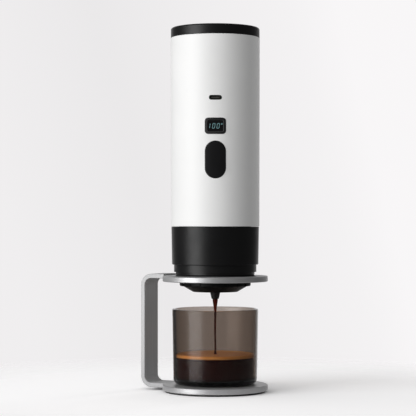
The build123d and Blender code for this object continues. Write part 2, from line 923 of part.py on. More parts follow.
# Motor
def motor_can():
    axis = (0, drive_y)
    can = disc(motor_radius, z_motor, z_motor_top, axis) + ears(z_motor, z_motor + motor_flange)
    can -= disc(motor_radius - motor_wall, z_motor + motor_cap, z_motor_top + cut_over, axis)
    can -= disc(shaft_radius + run_gap, z_motor - cut_over, z_motor_top, axis)
    return can - pump_screw_holes()


def motor_end_cap():
    axis = (0, drive_y)
    low = z_motor_top - motor_cap
    cap = disc(motor_radius - motor_wall - fit_gap, low, z_motor_top, axis)
    return cap - disc(shaft_radius + run_gap, low - cut_over, z_motor_top - motor_cap / 2, axis)


def motor_magnets():
    inner = magnet_outer - magnet_thickness
    top = z_armature + armature_length
    right = Pos(0, drive_y, 0) * sector(inner, magnet_outer, z_armature, top, -magnet_angle / 2, magnet_angle)
    return Compound([right, mirror(right, Plane.YZ)])


def motor_armature():
    axis = (0, drive_y)
    body = tube(armature_radius, shaft_radius + fit_gap, z_armature, z_armature + armature_length, axis)
    for index in range(armature_slots):
        slot = block(
            armature_core, armature_radius + cut_over,
            -armature_slot / 2, armature_slot / 2,
            z_armature - cut_over, z_armature + armature_length + cut_over,
        )
        body -= Pos(0, drive_y, 0) * Rot(0, 0, index * 360 / armature_slots) * slot
    return body


def motor_shaft():
    low = z_cavity + gear_end_gap
    return disc(shaft_radius, low, z_motor_top - motor_cap / 2 - gear_end_gap, (0, drive_y))


# Water path
def tank():
    body = turned(
        (0, z_tank),
        (tank_radius, z_tank),
        (tank_radius, z_shelf_top),
        (bore_radius - fit_gap, z_shelf_top),
        (bore_radius - fit_gap, z_tank_rim),
        (tank_inner, z_tank_rim),
        (tank_inner, z_tank_floor),
        (0, z_tank_floor),
    )
    body = fillet(circles_at(body, z_tank), tank_corner)
    body = fillet(circles_at(body, z_tank_floor), tank_corner - tank_wall)
    return body - pipe_passage(z_tank, z_tank_floor, fit_gap)


def heater_plate():
    return disc(heater_radius, z_heater, z_tank) - pipe_passage(z_heater, z_tank, slide_gap)


def heater_insulator():
    ring = tube(heater_radius, heater_radius - insulator_width, z_upper_deck_top, z_heater)
    return ring - pipe_passage(z_upper_deck_top, z_heater, slide_gap)


def temperature_probe():
    return disc(probe_radius, z_upper_deck_top, z_heater)


def tank_outlet():
    place = (pipe_x, mesh_y)
    top = z_tank_floor + pipe_flange_thickness
    pipe = disc(pipe_radius, z_pipe, top, place) + disc(pipe_radius + pipe_flange, z_tank_floor, top, place)
    return pipe - disc(pipe_bore, z_pipe - cut_over, top + cut_over, place)


def suction_tube():
    plane = Plane(origin=(0, mesh_y, 0), x_dir=(1, 0, 0), z_dir=(0, -1, 0))
    start = (-case_radius - fit_gap, z_suction)
    corner = (pipe_x, z_suction)
    end = (pipe_x, z_upper_deck - tube_top_gap)
    route = plane * FilletPolyline(start, corner, end, radius=tube_bend)
    mouth = Plane(origin=route @ 0, z_dir=route % 0)
    return sweep(mouth * Circle(tube_radius), route) - sweep(mouth * Circle(tube_bore), route)


# Controls
def shell_cone(extra):
    cone = Cone(shell_foot_radius + extra, shell_top_radius + extra, shell_height, align=ON_FLOOR)
    return Pos(0, 0, z_shell) * cone


def button_outline(grow):
    return SlotOverall(button_length + 2 * grow, button_width + 2 * grow, rotation=90)


def display_outline(grow):
    return RectangleRounded(display_width + 2 * grow, display_length + 2 * grow, display_corner + grow)


def port_outline(width, height, shrink):
    return SlotOverall(width - 2 * shrink, height - 2 * shrink)


def power_button():
    key = front(button_outline(0), z_button, button_back, shell_top_radius + cut_over)
    key &= shell_cone(button_proud)
    key = fillet(key.faces().sort_by(Axis.Y)[0].edges(), button_edge)
    rim = front(button_outline(button_flange), z_button, button_back, bore_radius)
    key += rim & disc(bore_radius - slide_gap, z_shell, z_shell_top)
    return key


def switch_plunger():
    return front(Circle(plunger_radius), z_button, switch_front - plunger_sink, button_back)


def push_switch():
    body = front(Rectangle(switch_size, switch_size), z_button, board_front, switch_front)
    well = Circle(plunger_radius + run_gap)
    return body - front(well, z_button, board_front + switch_floor, switch_front + cut_over)


def display_module():
    width = window_width + 2 * window_lip + 2 * module_margin
    length = window_length + 2 * window_lip + 2 * module_margin
    return front(Rectangle(width, length), z_display, board_front, module_front)


def window_outline(grow):
    width = window_width + 2 * grow
    return RectangleRounded(width, window_length + 2 * grow, window_corner + grow)


def display_window():
    return front(window_outline(window_lip), z_display, module_front, window_front)


def display_bezel():
    frame = front(display_outline(-fit_gap), z_display, module_front, shell_top_radius + cut_over)
    frame &= shell_cone(display_proud)
    seat = window_outline(window_lip + fit_gap)
    frame -= front(seat, z_display, module_front - cut_over, window_front + fit_gap)
    opening_face = shell_top_radius + cut_over
    return frame - front(window_outline(0), z_display, window_front, opening_face, -bezel_slope)


def usb_socket():
    body = front(port_outline(socket_width, socket_height, 0), z_port, board_front, socket_front)
    inside = port_outline(socket_width, socket_height, socket_wall)
    return body - front(inside, z_port, board_front + socket_floor, socket_front + cut_over)


def usb_tongue():
    low = board_front + socket_floor
    blade = Rectangle(tongue_width, tongue_thickness)
    root = port_outline(socket_width, socket_height, socket_wall + fit_gap)
    tongue = front(root, z_port, low, low + tongue_root)
    return tongue + front(blade, z_port, low, socket_front - tongue_recess)


def board_screw_points():
    low = board_low + board_margin
    high = z_upper_deck - post_size - 2 * m2.head
    return [(x, -board_front, height) for x in (-post_x, post_x) for height in (low, high)]


def board_screw_holes():
    return [screw_hole(m2, at, INWARD, board_screw_length) for at in board_screw_points()]


def control_board():
    half = board_width / 2
    board = block(-half, half, -board_front, -board_back, board_low, board_high)
    return board - board_screw_holes()


# Shell and lid
def outer_shell():
    shell = shell_cone(0)
    outer_edges = circles_at(shell, z_shell) + circles_at(shell, z_shell_top)
    shell = chamfer(outer_edges, shell_edge)
    shell -= disc(bore_radius, z_shell - cut_over, z_shelf)
    shell -= disc(tank_radius + fit_gap, z_shelf - cut_over, z_shelf_top + cut_over)
    shell -= disc(bore_radius, z_shelf_top, z_shell_top + cut_over)
    wall_back = bore_radius - board_setback / 2
    face = shell_top_radius + cut_over
    shell -= front(button_outline(slide_gap), z_button, wall_back, face)
    shell -= front(display_outline(0), z_display, wall_back, face)
    shell -= front(port_outline(port_width, port_slot, 0), z_port, wall_back, face)
    rib_inner = bore_radius - rib_depth
    rib_top = z_deck_top + rib_height
    wall_middle = bore_radius + shell_wall / 2
    for pillar in pillar_angles():
        start = pillar - pillar_half_sweep
        shell += sector(rib_inner, wall_middle, z_deck_top, rib_top, start, 2 * pillar_half_sweep)
    return shell - ring_screw_holes()


def lid_screw_points():
    return [(x, y, z_lid) for x, y in ring_places(lid_screw_ring, lid_screw_count, lid_screw_angle)]


def lid_screw_holes():
    return [screw_hole(m25, at, UP, lid_screw_length, True) for at in lid_screw_points()]


def lid_cap():
    cap = disc(lid_radius, z_lid, z_lid_top)
    cap = fillet(circles_at(cap, z_lid_top), lid_edge)
    cap -= disc(plug_flange_radius + fit_gap, z_lid - cut_over, z_lid + plug_flange_thickness)
    cap -= disc(vent_radius, z_lid, z_lid_top + cut_over)
    return cap - lid_screw_holes()


def lid_plug():
    top = z_lid + plug_flange_thickness
    plug = disc(plug_flange_radius, z_lid, top) + disc(plug_radius, z_plug, z_lid)
    groove = seal_cord + fit_gap
    groove_inner = seal_ring_radius - groove
    plug -= tube(plug_radius + cut_over, groove_inner, z_lid_seal - groove, z_lid_seal + groove)
    plug -= disc(groove_inner - plug_wall, z_plug + plug_wall, top + cut_over)
    plug -= disc(vent_radius + fit_gap, z_plug - cut_over, top)
    return plug - lid_screw_holes()


def lid_seal():
    return Pos(0, 0, z_lid_seal) * Torus(seal_ring_radius, seal_cord)


def vent_valve():
    knob_low = z_plug + plug_wall
    valve = disc(vent_head, z_plug - vent_head_thickness, z_plug)
    valve += disc(vent_radius, z_plug, knob_low)
    return valve + disc(vent_knob, knob_low, knob_low + vent_head_thickness)


# Every node of the part
nodes = {
    "base_pad": base_pad(),
    "lower_plate": lower_plate(),
    "upper_plate": upper_plate(),
    "handle_strap": handle_strap(),
    "strap_screws": strap_screws(),
    "seat_ring": seat_ring(),
    "cup": cup(),
    "outer_shell": outer_shell(),
    "bayonet_ring": bayonet_ring(),
    "ring_screws": screws(m25, ring_screw_points(), UP, ring_screw_length),
    "lower_deck": lower_deck(),
    "upper_deck": upper_deck(),
    "deck_posts": deck_posts(),
    "deck_screws": Compound(deck_screw_list(screw)),
    "group_gasket": group_gasket(),
    "shower_screen": shower_screen(),
    "shower_screw": screw(m3, (0, 0, z_screen - screen_thickness), UP, shower_screw_length),
    "battery_cells": battery_cells(),
    "cell_cradle": cell_cradle(),
    "foam_pads": foam_pads(),
    "pump_case": pump_case(),
    "pump_cover": pump_cover(),
    "pump_screws": screws(m2, pump_screw_points(), DOWN, pump_screw_length),
    "drive_gear": drive_gear(),
    "idler_gear": idler_gear(),
    "shaft_seal": shaft_seal(),
    "motor_can": motor_can(),
    "motor_end_cap": motor_end_cap(),
    "motor_magnets": motor_magnets(),
    "motor_armature": motor_armature(),
    "motor_shaft": motor_shaft(),
    "tank": tank(),
    "heater_plate": heater_plate(),
    "heater_insulator": heater_insulator(),
    "temperature_probe": temperature_probe(),
    "tank_outlet": tank_outlet(),
    "suction_tube": suction_tube(),
    "control_board": control_board(),
    "board_screws": screws(m2, board_screw_points(), INWARD, board_screw_length),
    "push_switch": push_switch(),
    "display_module": display_module(),
    "display_window": display_window(),
    "display_bezel": display_bezel(),
    "usb_socket": usb_socket(),
    "usb_tongue": usb_tongue(),
    "power_button": power_button(),
    "switch_plunger": switch_plunger(),
    "lid_cap": lid_cap(),
    "lid_plug": lid_plug(),
    "lid_seal": lid_seal(),
    "lid_screws": screws(m25, lid_screw_points(), UP, lid_screw_length, True),
    "vent_valve": vent_valve(),
    "head_shell": head_shell(),
    "neck_ring": neck_ring(),
    "outlet_cone": outlet_cone(),
    "spout_tip": spout_tip(),
    "brew_chamber": brew_chamber(),
    "head_screws": head_screws(),
    "filter_basket": filter_basket(),
    "crema_valve": crema_valve(),
}

os.makedirs("parts", exist_ok=True)
for name, shape in nodes.items():
    export_step(shape, f"parts/{name}.step")
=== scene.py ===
import json
from math import atan, cos, pi, radians, sin

import bmesh
import bpy
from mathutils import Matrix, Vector


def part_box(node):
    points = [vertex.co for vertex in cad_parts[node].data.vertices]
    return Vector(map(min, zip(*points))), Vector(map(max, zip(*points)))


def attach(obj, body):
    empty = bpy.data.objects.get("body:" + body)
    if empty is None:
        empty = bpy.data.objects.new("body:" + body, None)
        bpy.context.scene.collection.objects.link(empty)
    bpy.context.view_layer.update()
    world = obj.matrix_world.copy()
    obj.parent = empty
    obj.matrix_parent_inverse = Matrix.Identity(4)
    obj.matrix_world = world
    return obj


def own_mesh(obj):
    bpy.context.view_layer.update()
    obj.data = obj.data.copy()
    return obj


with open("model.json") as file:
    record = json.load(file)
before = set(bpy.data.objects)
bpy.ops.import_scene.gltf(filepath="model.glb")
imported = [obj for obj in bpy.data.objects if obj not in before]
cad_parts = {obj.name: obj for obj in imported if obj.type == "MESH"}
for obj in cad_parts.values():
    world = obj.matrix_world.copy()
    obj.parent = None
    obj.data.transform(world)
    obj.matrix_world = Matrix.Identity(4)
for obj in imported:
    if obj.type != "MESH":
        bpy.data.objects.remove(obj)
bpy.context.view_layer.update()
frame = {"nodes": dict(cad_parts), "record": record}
nodes = frame["nodes"]
scene = bpy.context.scene

# Lengths are in metres where nothing else is said
mm = 0.001

# Inside of the cup, as in the CAD, and the gap that its contents leave to the wall
cup_floor = 9.9 * mm
cup_top = 66.9 * mm
cup_inner_foot = 31.2 * mm
cup_inner_rim = 32.2 * mm
cup_inner_corner = 3.0 * mm
wall_gap = 0.12 * mm

# Camera, with rows and columns of the photograph, the size of a pixel at the object's axis, and the
# width of the sensor in millimetres
image_size = 416
pixel = 0.809 * mm
axis_column = 215.2
eye_row = 220.0
eye_height = 138.5 * mm
camera_distance = 1.3
sensor_width = 36.0
nearest_view = 0.05


class NodeTree:
    """The nodes of a material or of the world, with short calls for those that both use."""

    def __init__(self, owner):
        owner.use_nodes = True
        self.nodes = owner.node_tree.nodes
        self.links = owner.node_tree.links

    def put(self, value, socket):
        """Link an output to a socket, or set the socket to a plain value."""
        if isinstance(value, bpy.types.NodeSocket):
            self.links.new(value, socket)
        elif socket.type == "RGBA":
            socket.default_value = (*value, 1.0)
        else:
            socket.default_value = value

    def node(self, kind, inputs, **settings):
        """A new node, with a value or a link for each input that is given by its name or number."""
        made = self.nodes.new("ShaderNode" + kind)
        for name, value in settings.items():
            setattr(made, name, value)
        for name, value in inputs.items():
            self.put(value, made.inputs[name])
        return made

    def combine(self, first, second, operation):
        """One number from two."""
        return self.node("Math", {0: first, 1: second}, operation=operation).outputs[0]

    def spread(self, value, low, high, start=0.3, end=0.7):
        """A number that goes from low to high while the value goes from start to end."""
        inputs = {"Value": value, "From Min": start, "From Max": end, "To Min": low, "To Max": high}
        return self.node("MapRange", inputs).outputs["Result"]

    def dot(self, first, second):
        """How far two directions agree, from -1 to 1."""
        return self.node("VectorMath", {0: first, 1: second}, operation="DOT_PRODUCT").outputs["Value"]

    def mix(self, share, first, second):
        """The first shader where the share is 0, and the second where it is 1."""
        return self.node("MixShader", {0: share, 1: first, 2: second}).outputs[0]

    def rays(self, *kinds):
        """1 for rays of the named kinds, and 0 for the rest."""
        path = self.nodes.new("ShaderNodeLightPath")
        share = path.outputs[kinds[0]]
        for kind in kinds[1:]:
            share = self.combine(share, path.outputs[kind], "MAXIMUM")
        return share


class Look(NodeTree):
    """A material with one surface shader, and short calls for its textures."""

    def __init__(self, name):
        self.material = bpy.data.materials.new(name)
        super().__init__(self.material)
        self.surface = self.nodes["Principled BSDF"]
        self.output = self.nodes["Material Output"]
        self.place = self.nodes.new("ShaderNodeTexCoord").outputs["Object"]

    def finish(self, **values):
        """Give the surface shader's inputs, with their names in lower case and underscores."""
        sockets = {socket.name.lower().replace(" ", "_"): socket for socket in self.surface.inputs}
        for name, value in values.items():
            self.put(value, sockets[name])
        return self.material

    def stretched(self, scale):
        """The place on the piece, with a scale for each axis."""
        return self.node("Mapping", {"Vector": self.place, "Scale": scale}).outputs["Vector"]

    def distance(self, place):
        """How far a place is from the origin."""
        return self.node("VectorMath", {0: place}, operation="LENGTH").outputs["Value"]

    def noise(self, scale, detail=2.0, place=None):
        """Soft spots, about as many to the metre as the scale says."""
        inputs = {"Vector": place or self.place, "Scale": scale, "Detail": detail}
        return self.node("TexNoise", inputs).outputs["Fac"]

    def cells(self, scale, place=None):
        """Round cells, about as many to the metre as the scale says."""
        inputs = {"Vector": place or self.place, "Scale": scale}
        return self.node("TexVoronoi", inputs).outputs["Distance"]

    def blend(self, share, first, second):
        """The first colour where the share is 0, and the second where it is 1."""
        return self.node("Mix", {0: share, 6: first, 7: second}, data_type="RGBA").outputs[2]

    def bump(self, height, depth, strength=1.0):
        """A relief that is too fine to be modelled."""
        inputs = {"Height": height, "Distance": depth, "Strength": strength}
        return self.node("Bump", inputs).outputs["Normal"]

    def facing(self):
        """The direction in which the surface faces."""
        return self.nodes.new("ShaderNodeNewGeometry").outputs["Normal"]

    def edge(self, radius=0.4 * mm):
        """1 along sharp edges, where a rounded surface would face another way, and 0 elsewhere."""
        rounded = self.node("Bevel", {"Radius": radius}).outputs["Normal"]
        return self.spread(self.dot(rounded, self.facing()), 0.0, 1.0, 0.99, 0.75)

    def uneven(self, fine, cloud, rough):
        """Roughness that changes between two values with the grain and the cloud."""
        return self.spread(self.combine(fine, cloud, "MULTIPLY"), *rough, 0.1, 0.6)


def shade(colour, share):
    """A colour made darker or lighter."""
    return [min(1.0, channel * share) for channel in colour]


def moulded(name, colour, worn, rough, grain, depth, mottle=0.04, specular=0.5):
    """Moulded plastic or rubber: a fine grain, a faint cloud of tone and slightly rubbed edges."""
    look = Look(name)
    cloud = look.spread(look.noise(45.0, detail=3.0), 0.0, 1.0)
    tone = look.blend(cloud, shade(colour, 1 - mottle), shade(colour, 1 + mottle))
    fine = look.noise(grain, detail=3.0)
    return look.finish(
        base_color=look.blend(look.edge(), tone, worn),
        roughness=look.uneven(fine, cloud, rough),
        specular_ior_level=specular,
        normal=look.bump(fine, depth),
    )


def metal(name, colour, rough, grain, depth, lines=None, line_scale=0.0, shine=1.0):
    """Metal with a blasted grain, brighter edges, partly a bright cut finish and partly a painted
    highlight, and fine lines where it is turned or drawn.
    """
    look = Look(name)
    fine = look.noise(grain)
    cloud = look.spread(look.noise(30.0, detail=4.0), 0.0, 1.0)
    height = fine
    streaks = cloud
    if lines:
        drawn = look.noise(line_scale, place=look.stretched(lines))
        height = look.combine(fine, drawn, "ADD")
        streaks = look.combine(cloud, look.spread(drawn, -0.4, 0.4), "ADD")
    tone = look.blend(streaks, shade(colour, 0.93), shade(colour, 1.05))
    return look.finish(
        # Edges get a lighter colour: partly a bright cut finish, partly a painted highlight along them
        base_color=look.blend(look.edge(), tone, shade(colour, 1.15)),
        metallic=shine,
        roughness=look.uneven(fine, cloud, rough),
        normal=look.bump(height, depth),
    )


def smoked_cup():
    """Smoked clear plastic, which darkens with the way through it. Lamps shine through it, and their light
    comes out brighter than the smoke lets it: added light on the drink inside.
    """
    look = Look("smoked_clear")
    wave = look.noise(25.0, detail=1.0)
    look.finish(
        base_color=look.blend(wave, (0.84, 0.805, 0.785), (0.87, 0.835, 0.815)),
        roughness=0.0,
        normal=look.bump(wave, 0.2 * mm, 0.15),
        ior=1.25,
        specular_tint=(0.1, 0.1, 0.1),
        transmission_weight=1.0,
        coat_weight=0.5,
        coat_roughness=0.27,
    )
    # Lamp light passes with a colour above 1, so it leaves brighter than it came: painted light on what the
    # cup holds
    clear = look.node("BsdfTransparent", {"Color": (1.68, 1.7, 1.72)}).outputs[0]
    lit_through_brightened = look.mix(look.rays("Is Shadow Ray"), look.surface.outputs[0], clear)
    smoke = look.node("VolumeAbsorption", {"Color": (0.2, 0.11, 0.03), "Density": 360.0}).outputs[0]
    look.put(lit_through_brightened, look.output.inputs["Surface"])
    look.put(smoke, look.output.inputs["Volume"])
    return look.material


def dark_display():
    look = Look("display_glass")
    haze = look.noise(120.0, detail=3.0)
    return look.finish(
        base_color=look.blend(haze, (0.002, 0.002, 0.0025), (0.004, 0.004, 0.005)),
        roughness=look.spread(haze, 0.06, 0.14),
        coat_weight=0.25,
        coat_roughness=0.05,
    )


def display_frame():
    """Black frame whose bevel down to the window is a lighter grey: a painted highlight where the bevel
    catches the light.
    """
    look = Look("display_frame")
    # Faces that turn away from the front get a lighter grey, a painted highlight
    facing = look.node("SeparateXYZ", {0: look.facing()}).outputs["Y"]
    painted_bevel_highlight = look.spread(facing, 0.0, 1.0, -0.9, -0.7)
    fine = look.noise(2600.0, detail=3.0)
    flat = look.blend(fine, (0.008, 0.008, 0.0085), (0.012, 0.012, 0.0125))
    return look.finish(
        base_color=look.blend(painted_bevel_highlight, flat, (0.036, 0.036, 0.037)),
        roughness=look.spread(fine, 0.36, 0.48),
        normal=look.bump(fine, 0.02 * mm),
    )


def socket_tongue():
    """Grey plastic tongue with a row of plated contacts across it."""
    look = Look("socket_tongue")
    rows = look.node("TexWave", {"Vector": look.place, "Scale": 628.0}).outputs["Fac"]
    contact = look.spread(rows, 0.0, 1.0, 0.45, 0.6)
    fine = look.noise(2400.0)
    return look.finish(
        base_color=look.blend(contact, (0.05, 0.05, 0.052), (0.10, 0.09, 0.07)),
        roughness=look.spread(fine, 0.35, 0.5),
        normal=look.bump(fine, 0.02 * mm),
    )


def wrapped_cell():
    look = Look("cell_wrap")
    film = look.noise(260.0, detail=3.0, place=look.stretched((1.0, 1.0, 0.15)))
    shrink = look.noise(900.0)
    return look.finish(
        base_color=look.blend(film, (0.02, 0.10, 0.16), (0.04, 0.16, 0.24)),
        roughness=look.spread(shrink, 0.25, 0.4),
        normal=look.bump(film, 0.04 * mm),
    )


def solder_mask():
    look = Look("board_green")
    weave = look.noise(700.0, place=look.stretched((3.0, 1.0, 1.0)))
    tracks = look.cells(240.0, look.stretched((1.0, 1.0, 0.3)))
    covered = look.spread(tracks, 0.0, 1.0, 0.2, 0.5)
    return look.finish(
        base_color=look.blend(covered, (0.012, 0.09, 0.04), (0.02, 0.15, 0.06)),
        roughness=look.spread(weave, 0.3, 0.45),
        normal=look.bump(tracks, 0.03 * mm),
    )


def clear_hose():
    look = Look("clear_hose")
    cloud = look.noise(150.0, detail=3.0)
    return look.finish(
        base_color=look.blend(cloud, (0.62, 0.61, 0.57), (0.74, 0.73, 0.70)),
        roughness=look.spread(cloud, 0.3, 0.45),
        subsurface_weight=0.3,
        normal=look.bump(look.noise(1500.0), 0.02 * mm),
    )


# Looks of the material slots
grey_rub = (0.016, 0.016, 0.017)
turned_lines = (0.03, 0.03, 1.0)
drawn_lines = (1.0, 1.0, 0.03)
moulded_looks = {
    "white_shell": dict(
        colour=(0.82, 0.82, 0.815), worn=(0.86, 0.86, 0.86), rough=(0.46, 0.52),
        grain=2600.0, depth=0.02 * mm, mottle=0.01,
    ),
    "black_plastic": dict(
        colour=(0.005, 0.005, 0.0053), worn=grey_rub, rough=(0.34, 0.46),
        grain=2200.0, depth=0.03 * mm, specular=0.3,
    ),
    "black_button": dict(
        colour=(0.006, 0.006, 0.0065), worn=grey_rub, rough=(0.32, 0.42),
        grain=3400.0, depth=0.02 * mm, specular=0.3,
    ),
    "dark_silicone": dict(
        colour=(0.02, 0.02, 0.02), worn=(0.03, 0.03, 0.03), rough=(0.6, 0.8),
        grain=1500.0, depth=0.03 * mm,
    ),
    "grey_plastic": dict(
        colour=(0.10, 0.10, 0.11), worn=(0.16, 0.16, 0.17), rough=(0.45, 0.6),
        grain=1800.0, depth=0.03 * mm,
    ),
    "magnet": dict(
        colour=(0.06, 0.06, 0.06), worn=(0.12, 0.12, 0.12), rough=(0.55, 0.75),
        grain=1200.0, depth=0.05 * mm,
    ),
}
metal_looks = {
    "satin_aluminium": dict(
        colour=(0.58, 0.58, 0.585), rough=(0.44, 0.52), grain=3200.0, depth=0.03 * mm,
        lines=turned_lines, line_scale=4000.0, shine=0.75,
    ),
    "stainless": dict(
        colour=(0.60, 0.60, 0.61), rough=(0.2, 0.32), grain=2500.0, depth=0.02 * mm,
        lines=turned_lines, line_scale=5000.0,
    ),
    "pipe_brass": dict(
        colour=(0.72, 0.53, 0.25), rough=(0.22, 0.35), grain=2600.0, depth=0.02 * mm,
        lines=turned_lines, line_scale=5000.0,
    ),
    "screw_steel": dict(colour=(0.48, 0.48, 0.50), rough=(0.22, 0.38), grain=4000.0, depth=0.02 * mm),
    "socket_steel": dict(colour=(0.05, 0.05, 0.0525), rough=(0.25, 0.4), grain=4000.0, depth=0.02 * mm),
}
looks = {
    "smoked_clear": smoked_cup(),
    "display_glass": dark_display(),
    "clear_hose": clear_hose(),
    "cell_wrap": wrapped_cell(),
    "board_green": solder_mask(),
}
for slot, values in moulded_looks.items():
    looks[slot] = moulded(slot, **values)
for slot, values in metal_looks.items():
    looks[slot] = metal(slot, **values)

# Looks of single nodes, which go before the look of their slot
own_looks = {
    "outlet_cone": moulded(
        "outlet_black", colour=(0.004, 0.004, 0.004), worn=(0.012, 0.012, 0.012), rough=(0.48, 0.6),
        grain=2200.0, depth=0.03 * mm, specular=0.2,
    ),
    "handle_strap": metal(
        "blasted_aluminium", colour=(0.52, 0.52, 0.525), rough=(0.55, 0.65), grain=3200.0, depth=0.03 * mm,
        lines=drawn_lines, line_scale=900.0, shine=0.25,
    ),
    "display_bezel": display_frame(),
    "usb_tongue": socket_tongue(),
}
for subpart in frame["record"]["subparts"]:
    materials = nodes[subpart["node"]].data.materials
    materials.clear()
    materials.append(own_looks.get(subpart["node"]) or looks[subpart["material_slot"]])


def new_object(name, work, smooth):
    """An object in the scene from mesh work, which this ends."""
    bmesh.ops.recalc_face_normals(work, faces=work.faces)
    for face in work.faces:
        face.smooth = smooth
    mesh = bpy.data.meshes.new(name)
    work.to_mesh(mesh)
    work.free()
    made = bpy.data.objects.new(name, mesh)
    scene.collection.objects.link(made)
    return made


def circle(steps):
    """Points on a circle with a radius of 1."""
    return [(cos(2 * pi * step / steps), sin(2 * pi * step / steps)) for step in range(steps)]


def lathe(name, outline, steps, sway=None):
    """A turned mesh from radii and heights, which is closed if it starts and ends on the axis."""
    work = bmesh.new()
    rings = []
    for radius, height in outline:
        x, y = sway(height) if sway else (0.0, 0.0)
        spokes = circle(steps) if radius else [(0.0, 0.0)]
        rings.append([work.verts.new((x + radius * a, y + radius * b, height)) for a, b in spokes])
    for low, high in zip(rings, rings[1:]):
        for step in range(steps):
            after = (step + 1) % steps
            corners = [
                low[step % len(low)],
                low[after % len(low)],
                high[after % len(high)],
                high[step % len(high)],
            ]
            work.faces.new(list(dict.fromkeys(corners)))
    return new_object(name, work, smooth=True)


def dress(piece, material, body):
    """Give a piece its material and the body that carries it."""
    piece.data.materials.append(material)
    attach(piece, body)
    return piece


# Coffee in the cup, with its foam
crema_top = 30.2 * mm
crema_low = 28.0 * mm
crema_climb = 0.35 * mm
ring_start = 27.0 * mm
ring_end = 34.0 * mm
ring_drift = 6.0 * mm
contents_steps = 96
corner_steps = 8


def inner_radius(height):
    """Radius of the contents at a height, just inside the cup's wall."""
    share = (height - cup_floor) / (cup_top - cup_floor)
    return cup_inner_foot + share * (cup_inner_rim - cup_inner_foot) - wall_gap


def coffee_outline():
    """The drink, with the cup's round corner at its foot."""
    bend = cup_inner_corner
    low = cup_floor + wall_gap
    middle = inner_radius(low + bend) - bend
    points = [(0.0, low), (middle / 2, low)]
    for step in range(corner_steps + 1):
        angle = radians(90 * step / corner_steps - 90)
        points.append((middle + bend * cos(angle), low + bend + bend * sin(angle)))
    return points + [(inner_radius(crema_low), crema_low), (0.0, crema_low)]


def crema_outline():
    """The foam's layer, which climbs the wall a little. Its insets from the wall are in millimetres."""
    rim = inner_radius(crema_top)
    points = [(0.0, crema_low), (inner_radius(crema_low), crema_low), (rim, crema_top + crema_climb)]
    for inset, rise in ((0.35, 0.6), (0.9, 0.25), (1.8, 0.06), (3.0, 0.0)):
        points.append((rim - inset * mm, crema_top + crema_climb * rise))
    for share in (0.7, 0.4, 0.15, 0.0):
        points.append((rim * share, crema_top))
    return points


def coffee_look():
    look = Look("coffee")
    cloud = look.noise(60.0, detail=3.0)
    return look.finish(
        base_color=look.blend(cloud, (0.016, 0.0006, 0.0004), (0.026, 0.0012, 0.0008)),
        roughness=look.spread(cloud, 0.2, 0.3),
        specular_ior_level=0.0,
    )


def crema_look():
    """Foam: golden at the wall and browner in the middle, with small bubbles."""
    look = Look("crema")
    reach = look.distance(look.stretched((1.0, 1.0, 0.0)))
    drift = look.combine(look.noise(90.0, detail=3.0), ring_drift, "MULTIPLY")
    ring = look.spread(look.combine(reach, drift, "ADD"), 0.0, 1.0, ring_start, ring_end)
    foam = look.cells(900.0)
    swirl = look.spread(look.noise(160.0, detail=4.0), 0.0, 1.0)
    golden = look.blend(swirl, (0.97, 0.45, 0.12), (0.99, 0.53, 0.18))
    brown = look.blend(swirl, (0.62, 0.26, 0.07), (0.80, 0.36, 0.10))
    return look.finish(
        base_color=look.blend(ring, brown, golden),
        roughness=look.spread(foam, 0.3, 0.5),
        normal=look.bump(foam, 0.08 * mm, 0.5),
    )


dress(lathe("coffee", coffee_outline(), contents_steps), coffee_look(), "cup")
crema = dress(lathe("crema", crema_outline(), contents_steps), crema_look(), "cup")

# The foam throws no brown light on the black outlet above it
crema.visible_diffuse = False
crema.visible_glossy = False

# Stream of coffee from the spout, by its radius and its height over the spout's end, both in millimetres
spout_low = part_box("spout_tip")[0].z
stream_shape = (
    (0.0, 1.4), (1.3, 1.4), (1.34, 0.0), (2.1, -0.03), (2.15, -0.6), (2.1, -1.4), (1.9, -2.8),
    (1.66, -4.4), (1.42, -6.0), (1.18, -7.8), (0.98, -10.5), (0.85, -15.0), (0.80, -21.0), (0.77, -28.0),
    (0.75, -35.0), (0.77, -41.0), (0.82, -43.4), (1.2, -44.0), (1.8, -44.3), (0.0, -44.4),
)
stream_steps = 24
stream_spacing = 1.0 * mm
side_sway = 0.0035
side_swing = 5.0 * mm
back_sway = 0.003
back_swing = 6.5 * mm


def stream_sway(height):
    """Shift of the stream to the side and to the back, which grows as it falls."""
    fall = max(0.0, spout_low - height)
    side = side_sway * fall * sin(fall / side_swing)
    back = back_sway * fall * cos(fall / back_swing)
    return side, back


def stream_outline():
    """The shape's points, with more of them on the long fall."""
    points = [(radius * mm, spout_low + height * mm) for radius, height in stream_shape]
    finer = points[:1]
    for (first_radius, first_height), (radius, height) in zip(points, points[1:]):
        count = max(1, int(abs(height - first_height) / stream_spacing))
        for step in range(1, count + 1):
            share = step / count
            finer.append((
                first_radius + (radius - first_radius) * share,
                first_height + (height - first_height) * share,
            ))
    return finer


def stream_look():
    look = Look("coffee_stream")
    flow = look.noise(220.0, place=look.stretched((1.0, 1.0, 0.2)))
    return look.finish(
        base_color=look.blend(flow, (0.013, 0.0015, 0.0006), (0.038, 0.0065, 0.0017)),
        roughness=look.spread(flow, 0.12, 0.22),
        specular_ior_level=0.1,
        normal=look.bump(flow, 0.1 * mm, 0.4),
        subsurface_weight=0.1,
    )


stream = lathe("coffee_stream", stream_outline(), stream_steps, stream_sway)
dress(stream, stream_look(), "brew_head")
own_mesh(stream)

